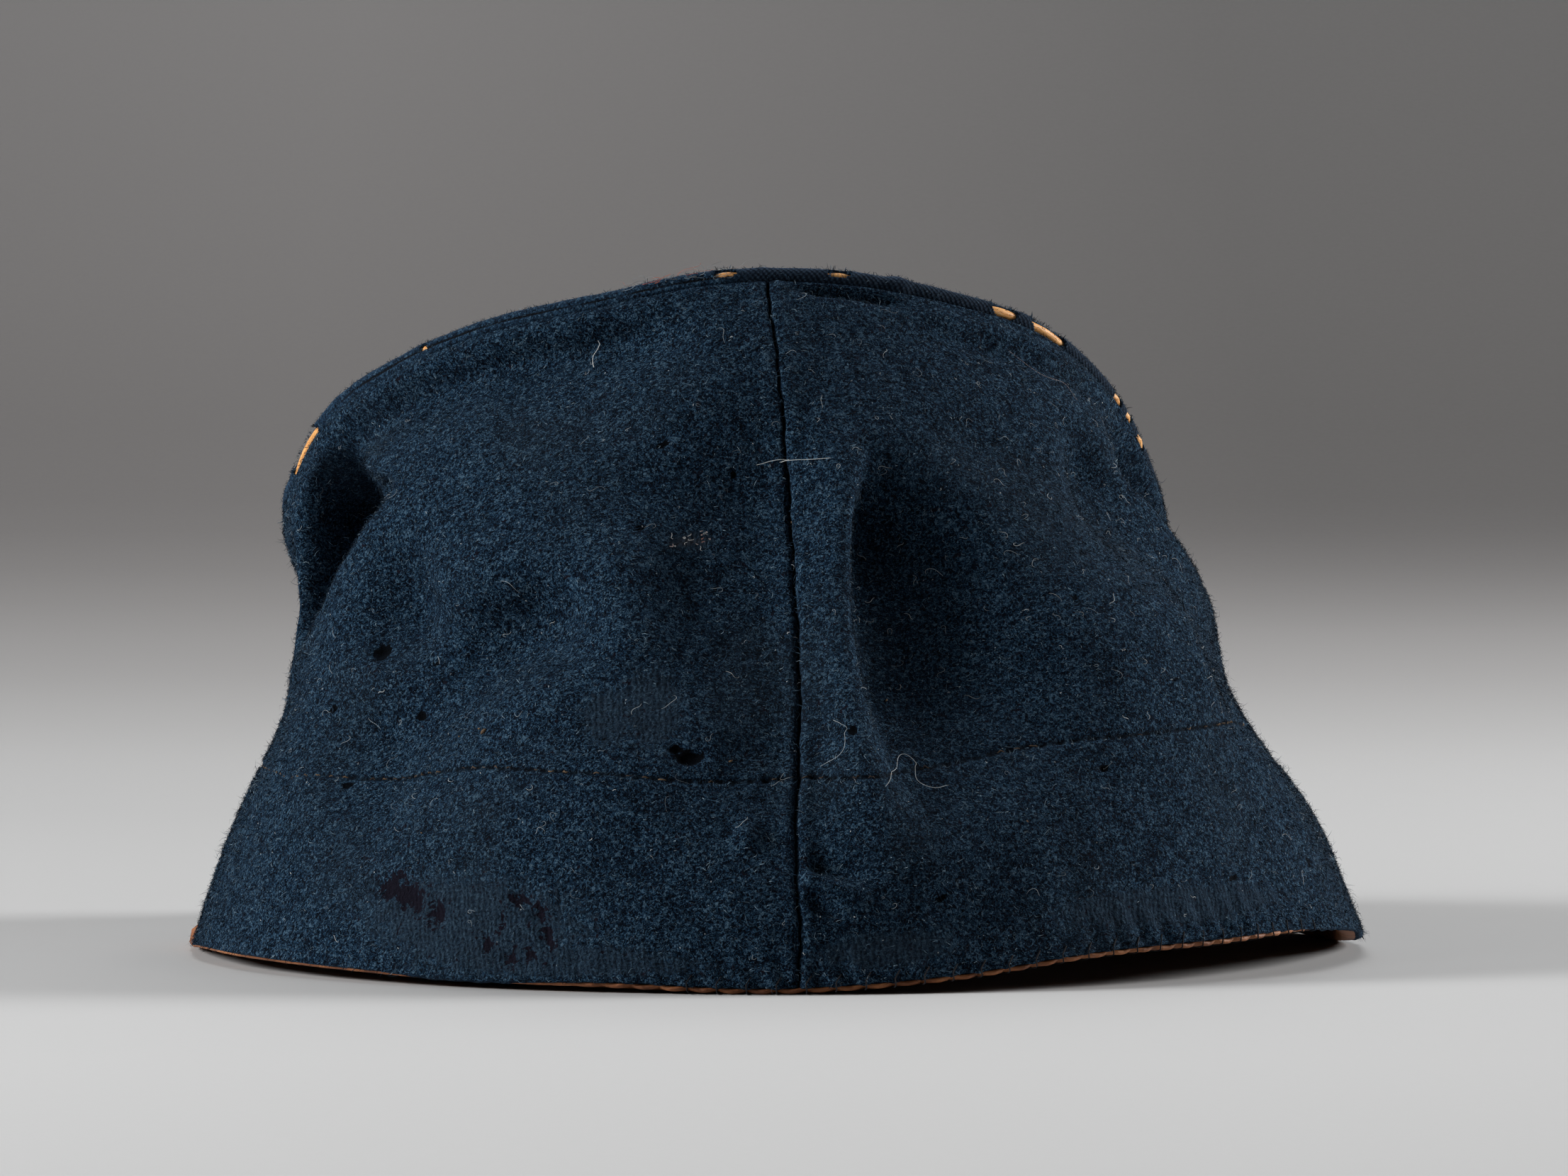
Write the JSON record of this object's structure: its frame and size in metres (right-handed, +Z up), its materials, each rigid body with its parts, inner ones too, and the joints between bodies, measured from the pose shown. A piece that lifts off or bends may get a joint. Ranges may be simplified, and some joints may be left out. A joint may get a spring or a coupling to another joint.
{
  "type": "forage cap",
  "caption": "Soft round-crowned wool forage cap with a piped crown edge, leather sweatband and short leather peak, slumped forward as it rests.",
  "frame": {"origin": "on the ground under the middle of the cap's box", "axes": "+Z up from the rim to the crown, -Y towards the peak, +X towards the wearer's left"},
  "size_m": [0.1754, 0.2394, 0.1007],
  "materials": {
    "wool_cloth": "napped, worn indigo wool cloth",
    "welt_cloth": "dark twilled wool strip",
    "cane": "bare split cane",
    "tan_leather": "dry tan leather, cut edge showing",
    "black_leather": "dull black leather"
  },
  "bodies": {
    "root": {"body": "wool_cloth", "crown_tip": "wool_cloth", "welt_cover": "welt_cloth", "welt_reed": "cane", "sweatband": "tan_leather", "peak": "black_leather"}
  },
  "joints": []
}
